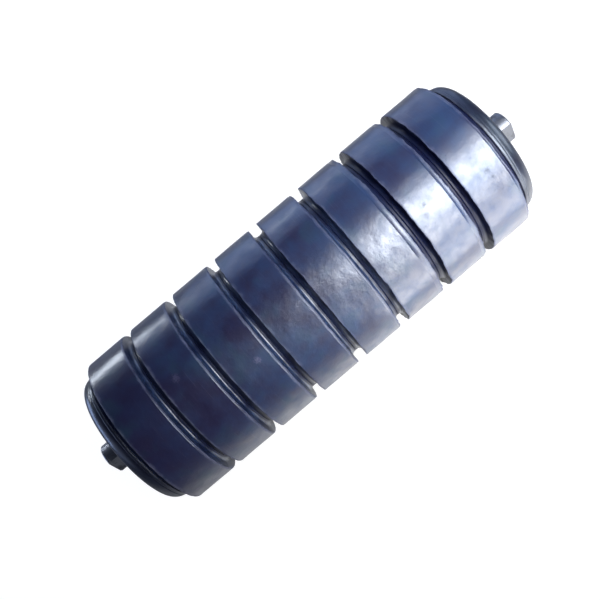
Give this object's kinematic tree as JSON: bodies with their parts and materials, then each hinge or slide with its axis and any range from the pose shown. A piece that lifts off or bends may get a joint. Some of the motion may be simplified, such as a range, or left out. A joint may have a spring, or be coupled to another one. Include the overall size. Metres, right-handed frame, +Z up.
{
  "type": "impact idler",
  "caption": "Conveyor impact roller: thick grooved rubber rings on a steel tube with rounded end collars, turning on sealed ball bearings about a fixed shaft with flatted ends.",
  "frame": {"origin": "middle of the roller, on the shaft's axis", "axes": "+Y along the shaft (the spin axis, towards the right end), +X along the belt's travel, +Z up towards the belt"},
  "size_m": [0.133, 0.402, 0.133],
  "materials": {
    "shaft_steel": "bright drawn",
    "black_paint": "semi-gloss",
    "rubber": "moulded, semi-gloss",
    "collar_rubber": "moulded, semi-gloss",
    "bearing_steel": "ground",
    "cage_nylon": "moulded",
    "seal_nylon": "moulded",
    "cover_nylon": "moulded",
    "spring_steel": "phosphated"
  },
  "bodies": {
    "shaft": {"shaft": "shaft_steel", "bearing_inner_race_left": "bearing_steel", "labyrinth_inner_left": "seal_nylon", "grease_seal_left": "seal_nylon", "dust_cover_left": "cover_nylon", "circlip_left": "spring_steel", "bearing_inner_race_right": "bearing_steel", "labyrinth_inner_right": "seal_nylon", "grease_seal_right": "seal_nylon", "dust_cover_right": "cover_nylon", "circlip_right": "spring_steel"},
    "roller": {"shell_tube": "black_paint", "rubber_ring_1": "rubber", "rubber_ring_2": "rubber", "rubber_ring_3": "rubber", "rubber_ring_4": "rubber", "rubber_ring_5": "rubber", "rubber_ring_6": "rubber", "rubber_ring_7": "rubber", "rubber_ring_8": "rubber", "end_collar_left": "collar_rubber", "bearing_housing_left": "black_paint", "bearing_outer_race_left": "bearing_steel", "labyrinth_outer_left": "seal_nylon", "end_collar_right": "collar_rubber", "bearing_housing_right": "black_paint", "bearing_outer_race_right": "bearing_steel", "labyrinth_outer_right": "seal_nylon"},
    "cage_left": {"bearing_cage_left": "cage_nylon", "bearing_balls_left": "bearing_steel"},
    "cage_right": {"bearing_cage_right": "cage_nylon", "bearing_balls_right": "bearing_steel"}
  },
  "joints": [
    {"name": "roller_spin", "type": "hinge", "parent": "shaft", "child": "roller", "pos_m": [0, 0, 0], "axis": [0, 1, 0], "continuous": true},
    {"name": "cage_left_orbit", "type": "hinge", "parent": "shaft", "child": "cage_left", "pos_m": [0, -0.157, 0], "axis": [0, 1, 0], "continuous": true},
    {"name": "cage_right_orbit", "type": "hinge", "parent": "shaft", "child": "cage_right", "pos_m": [0, 0.157, 0], "axis": [0, 1, 0], "continuous": true}
  ],
  "couplings": [
    {"joint": "cage_left_orbit", "follows": "roller_spin", "ratio": 0.6031},
    {"joint": "cage_right_orbit", "follows": "roller_spin", "ratio": 0.6031}
  ]
}
